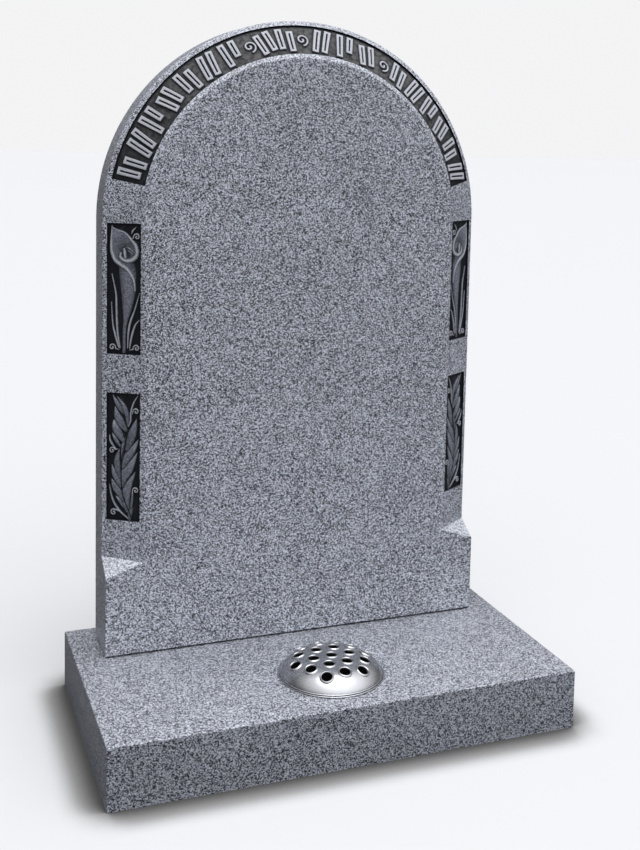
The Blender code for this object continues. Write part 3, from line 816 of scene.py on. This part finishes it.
# The flower container: an aluminium pot spun in one piece, hung in the cored hole by a flange with a
# rolled edge that rests on the base.
def turned(profile, steps):
    """A shell turned about the container's upright axis, from (radius, height) pairs."""
    bm = bmesh.new()
    points = [bm.verts.new((pot_centre.x + radius, pot_centre.y, height)) for radius, height in profile]
    edges = [bm.edges.new(pair) for pair in zip(points, points[1:])]
    bmesh.ops.spin(
        bm,
        geom=points + edges,
        cent=(pot_centre.x, pot_centre.y, 0),
        axis=(0, 0, 1),
        angle=math.tau,
        steps=steps,
        use_merge=True,
    )
    bmesh.ops.remove_doubles(bm, verts=bm.verts, dist=1e-6)
    return bm


pot_wall = 0.0012
seat_gap = 0.0003
flange_radius = pot_high.x
flange_seat = base_high.z + seat_gap
flange_top = pot_high.z
roll = (flange_top - flange_seat) / 2
pot_floor = pot_low.z
corner = 0.004
mouth_ease = 0.0005
rolled_edge = [
    (flange_radius - roll + roll * math.cos(turn), flange_seat + roll + roll * math.sin(turn))
    for turn in np.linspace(-math.pi / 2, math.pi / 2, 7)
]
bent_foot = [
    (pot_radius - corner + corner * math.sin(turn), pot_floor + corner - corner * math.cos(turn))
    for turn in np.linspace(0, math.pi / 2, 6)
]
pot_profile = [
    (0.0, pot_floor),
    *bent_foot,
    (pot_radius, flange_seat),
    *rolled_edge,
    (pot_radius - pot_wall + mouth_ease, flange_top),
    (pot_radius - pot_wall, flange_top - mouth_ease),
    (pot_radius - pot_wall, pot_floor + corner),
    (pot_radius - corner, pot_floor + pot_wall),
    (0.0, pot_floor + pot_wall),
]
pot = piece_from(turned(pot_profile, 128), "flower_pot")
shade(pot, math.radians(40))

# Spun aluminium: bright metal with faint turning lines round its axis and a few dull smears. Inside the
# pot it is darkened as painted shade, and every crease is darkened by painted shade too.
spun, given, result = new_group(
    "turning lines",
    {"Centre": "NodeSocketVector", "Lines per metre": "NodeSocketFloat"},
    {"Line": "NodeSocketFloat", "Smear": "NodeSocketFloat"},
)
coordinates = add(spun, "ShaderNodeTexCoord").outputs["Object"]
from_axis = add(spun, "ShaderNodeVectorMath", {0: coordinates, 1: given["Centre"]}, operation="SUBTRACT")
from_axis = from_axis.outputs[0]
flat = add(spun, "ShaderNodeVectorMath", {0: from_axis, 1: (1.0, 1.0, 0.0)}, operation="MULTIPLY").outputs[0]
away = add(spun, "ShaderNodeVectorMath", {0: flat}, operation="LENGTH").outputs["Value"]
count = figure(spun, "MULTIPLY", away, given["Lines per metre"])
line = add(spun, "ShaderNodeTexNoise", {"W": count, "Scale": 1.0, "Detail": 2.0}, noise_dimensions="1D")
line = line.outputs["Fac"]
smear = mottling(spun, from_axis, 45.0, 3.0)
spun.links.new(line, result["Line"])
spun.links.new(smear, result["Smear"])


def metal_finish(name, colour, bright, dull):
    """Aluminium whose roughness runs from bright to dull with its turning lines and smears."""
    material, tree, shader = new_material(name)
    lines = add(tree, "ShaderNodeGroup", node_tree=spun)
    lines.inputs["Centre"].default_value = pot_centre
    lines.inputs["Lines per metre"].default_value = 900.0
    line, smear = lines.outputs["Line"], lines.outputs["Smear"]
    tint = ramp(tree, smear, (0.35, tuple(part * 0.90 for part in colour)), (0.65, colour))
    # Painted shade: the metal's colour is darkened in every crease.
    crease = add(tree, "ShaderNodeAmbientOcclusion", {"Distance": 0.0032}, samples=8).outputs["AO"]
    painted_crease_shade = ramp(tree, crease, (0.50, (0.04, 0.04, 0.045)), (0.84, (1.0, 1.0, 1.0)))
    both = add(tree, "ShaderNodeMix", {"Factor": 0.35, "A": smear, "B": line}).outputs["Result"]
    rough = spread(tree, both, bright, dull, 0.3, 0.7)
    shader["Metallic"].default_value = 1.0
    finish(tree, shader, blend(tree, 1.0, tint, painted_crease_shade, "MULTIPLY"), rough, line, 0.08, 0.0001)
    return material


pot.data.materials.append(metal_finish("spun aluminium", (0.72, 0.73, 0.75), 0.22, 0.34))
# Painted shade: the inside of the pot takes a dark copy of the aluminium.
pot.data.materials.append(metal_finish("aluminium darkened as painted shade", (0.13, 0.13, 0.135), 0.45, 0.6))
for polygon in pot.data.polygons:
    outward = Vector((polygon.center.x - pot_centre.x, polygon.center.y - pot_centre.y))
    inner_wall = outward.length < pot_radius - 0.0008 and polygon.center.z > pot_floor + pot_wall / 2
    if inner_wall and polygon.normal.xy.dot(outward) < 1e-4 and polygon.center.z < flange_top - 0.001:
        polygon.material_index = 1
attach(pot, "root")
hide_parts("flower_container")

# The lid: polished aluminium, spun to a flattened dome on a thin flat lip, with a locating ring under it.
# Nineteen stem holes are punched through it, each with its edge rolled up into a bright collar.
lid_low, lid_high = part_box("container_lid")
lid_radius = lid_high.x
lid_seat = flange_top + seat_gap
lip_width = 0.0016
lip_height = 0.0014
lid_wall = 0.0012
lid_rise = lid_high.z - lid_seat - lip_height
skirt = lid_radius - lip_width
upper_ease = 0.0004
lower_ease = 0.0003
ring_clearance = 0.0006
ring_outer = pot_radius - pot_wall - ring_clearance
ring_inner = ring_outer - lid_wall
hole_radius = 0.0068
hole_inset = 0.0070
hole_pitch = (ring_inner - ring_clearance - hole_inset) / 2
hole_turn = math.radians(2.5)
collar_overlap = 0.0004
punch_depth = 0.006


def dome(radius):
    share = min(radius / skirt, 1.0)
    return lid_seat + lip_height + lid_rise * (1 - share**4) ** 0.85


def dome_fall(radius):
    """How steeply the dome falls away from its middle at a radius."""
    step = 1e-5
    return (dome(radius - step) - dome(radius + step)) / (2 * step)


outside = [skirt * math.sin(turn) for turn in np.linspace(0, math.pi / 2, 40)]
outside = [(radius, dome(radius)) for radius in outside]
inside = []
for radius, height in outside[1:]:
    fall = min(dome_fall(min(radius, skirt - 0.0002)), 4.0)
    length = math.hypot(1, fall)
    inside.append((radius - lid_wall * fall / length, height - lid_wall / length))
under = [point for point in inside if point[0] < ring_inner - lower_ease]
beyond = [point for point in inside if point[0] > ring_outer + lower_ease]
beyond = [point for point in beyond if point[1] > lid_seat + upper_ease]
lid_profile = [
    *outside,
    (lid_radius - upper_ease, lid_seat + lip_height),
    (lid_radius, lid_seat + lip_height - upper_ease),
    (lid_radius, lid_seat + lower_ease),
    (lid_radius - lower_ease, lid_seat),
    (skirt - lid_wall, lid_seat),
    *reversed(beyond),
    (ring_outer, beyond[0][1]),
    (ring_outer, lid_low.z + lower_ease),
    (ring_outer - lower_ease, lid_low.z),
    (ring_inner, lid_low.z),
    (ring_inner, under[-1][1]),
    *reversed(under),
    (0.0, outside[0][1] - lid_wall),
]
lid = piece_from(turned(lid_profile, 144), "pierced_lid")
hole_places = []
for i in range(-2, 3):
    for j in range(max(-2, -i - 2), min(2, -i + 2) + 1):
        place = hole_pitch * Vector((i + j / 2, j * math.sqrt(3) / 2))
        place.rotate(Matrix.Rotation(hole_turn, 2))
        away = place.length
        outward = place.normalized()
        normal = Vector((*(outward * dome_fall(away)), 1)).normalized()
        seat = Vector((pot_centre.x + place.x, pot_centre.y + place.y, dome(away)))
        hole_places.append(Matrix.Translation(seat) @ normal.to_track_quat("Z", "Y").to_matrix().to_4x4())
punch = bmesh.new()
for place in hole_places:
    bmesh.ops.create_cone(
        punch,
        cap_ends=True,
        segments=48,
        radius1=hole_radius + collar_overlap,
        radius2=hole_radius + collar_overlap,
        depth=punch_depth,
        matrix=place,
    )
cut_away(lid, piece_from(punch, "punch"))

collar_section = [
    (0.0027, -0.0006), (0.0022, 0.0001), (0.0016, 0.0007), (0.0009, 0.0010), (0.0003, 0.0008),
    (0.0000, 0.0004), (0.0000, -0.0016), (0.0006, -0.0016),
]
collars = bmesh.new()
collars.from_mesh(lid.data)
for place in hole_places:
    ring = [collars.verts.new((hole_radius + out, 0, up)) for out, up in collar_section]
    edges = [collars.edges.new(pair) for pair in zip(ring, ring[1:] + ring[:1])]
    before = set(collars.verts) - set(ring)
    bmesh.ops.spin(
        collars, geom=ring + edges, cent=(0, 0, 0), axis=(0, 0, 1), angle=math.tau, steps=48, use_merge=True
    )
    made = [vertex for vertex in collars.verts if vertex not in before]
    bmesh.ops.transform(collars, matrix=place, verts=made)
bmesh.ops.recalc_face_normals(collars, faces=collars.faces)
collars.to_mesh(lid.data)
collars.free()
shade(lid, math.radians(38))
lid.data.materials.append(metal_finish("polished aluminium", (0.64, 0.645, 0.66), 0.20, 0.32))
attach(lid, "root")
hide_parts("container_lid")

# The studio: a plain pale floor with a soft painted shadow where the base stands on it, a soft pale sky that
# is brightest high up in front of the stone, and a broad soft sun nearly overhead. The camera sees the sky
# and the open floor nearly white, and the stone is lit by a darker floor and a graded sky.
floor = bmesh.new()
bmesh.ops.create_grid(floor, x_segments=1, y_segments=1, size=40.0)
floor = piece_from(floor, "studio_floor")
floor_paint, tree, shader = new_material("pale floor paint")
to_camera = add(tree, "ShaderNodeLightPath").outputs["Is Camera Ray"]
# Painted shadow: the floor the camera sees is darkened where the base stands close by.
clear = add(tree, "ShaderNodeAmbientOcclusion", {"Distance": 0.055}, samples=16).outputs["AO"]
seen_paint_with_painted_shadow = ramp(
    tree, clear, (0.53, (0.10, 0.098, 0.096)), (0.78, (0.33, 0.325, 0.32)), (0.96, (0.78, 0.78, 0.785))
)
paint = blend(tree, to_camera, (0.12, 0.12, 0.125, 1.0), seen_paint_with_painted_shadow)
tree.links.new(paint, shader["Base Color"])
shader["Roughness"].default_value = 0.9
shader["Specular IOR Level"].default_value = 0.1
floor.data.materials.append(floor_paint)

sky = bpy.data.worlds.new("pale sky")
sky.use_nodes = True
tree = sky.node_tree
brightest = Vector((0.152, -0.377, 0.914))
direction = add(tree, "ShaderNodeTexCoord").outputs["Generated"]
facing = add(tree, "ShaderNodeVectorMath", {0: direction, 1: brightest}, operation="DOT_PRODUCT")
glow = figure(tree, "POWER", figure(tree, "MAXIMUM", facing.outputs["Value"], 0.0), 2.0)
strength = figure(tree, "MULTIPLY_ADD", glow, 1.66, 0.12)
lit = add(tree, "ShaderNodeBackground", {"Color": (0.95, 0.965, 1.0, 1.0), "Strength": strength})
seen = add(tree, "ShaderNodeBackground", {"Color": (0.90, 0.90, 0.91, 1.0), "Strength": 1.0})
to_camera = add(tree, "ShaderNodeLightPath").outputs["Is Camera Ray"]
sky_mix = add(tree, "ShaderNodeMixShader", {0: to_camera, 1: lit.outputs[0], 2: seen.outputs[0]})
tree.links.new(sky_mix.outputs[0], tree.nodes["World Output"].inputs["Surface"])
bpy.context.scene.world = sky

sun = bpy.data.lights.new("overhead_sun", "SUN")
sun.energy = 1.1
sun.angle = math.radians(40)
sun_object = bpy.data.objects.new("overhead_sun", sun)
sun_object.rotation_euler = Vector((-0.25, 0.35, -4.0)).to_track_quat("-Z", "Y").to_euler()
bpy.context.scene.collection.objects.link(sun_object)
bpy.context.scene.view_settings.view_transform = "Standard"

# The camera stands to the left of the stone and well above its middle, as in the photograph, and the
# photograph's own frame gives the length of its lens and the shift of its picture.
photo_width, photo_height = 640, 850
focal_pixels = 1158.18
centre_row = 248.3
camera_turn, camera_tilt, camera_roll = 0.3602, -0.0972, 0.0203
forward = Vector((
    math.sin(camera_turn) * math.cos(camera_tilt),
    math.cos(camera_turn) * math.cos(camera_tilt),
    math.sin(camera_tilt),
))
level = Vector((math.cos(camera_turn), -math.sin(camera_turn), 0))
upward = level.cross(forward)
axes = Matrix((level, upward, -forward)).transposed() @ Matrix.Rotation(camera_roll, 3, "Z")
camera = bpy.data.cameras.new("camera")
camera.lens = focal_pixels * camera.sensor_width / photo_height
camera.shift_y = (centre_row - photo_height / 2) / photo_height
camera_object = bpy.data.objects.new("camera", camera)
camera_object.matrix_world = Matrix.Translation((-0.5268, -1.3951, 0.7628)) @ axes.to_4x4()
bpy.context.scene.collection.objects.link(camera_object)
bpy.context.scene.camera = camera_object
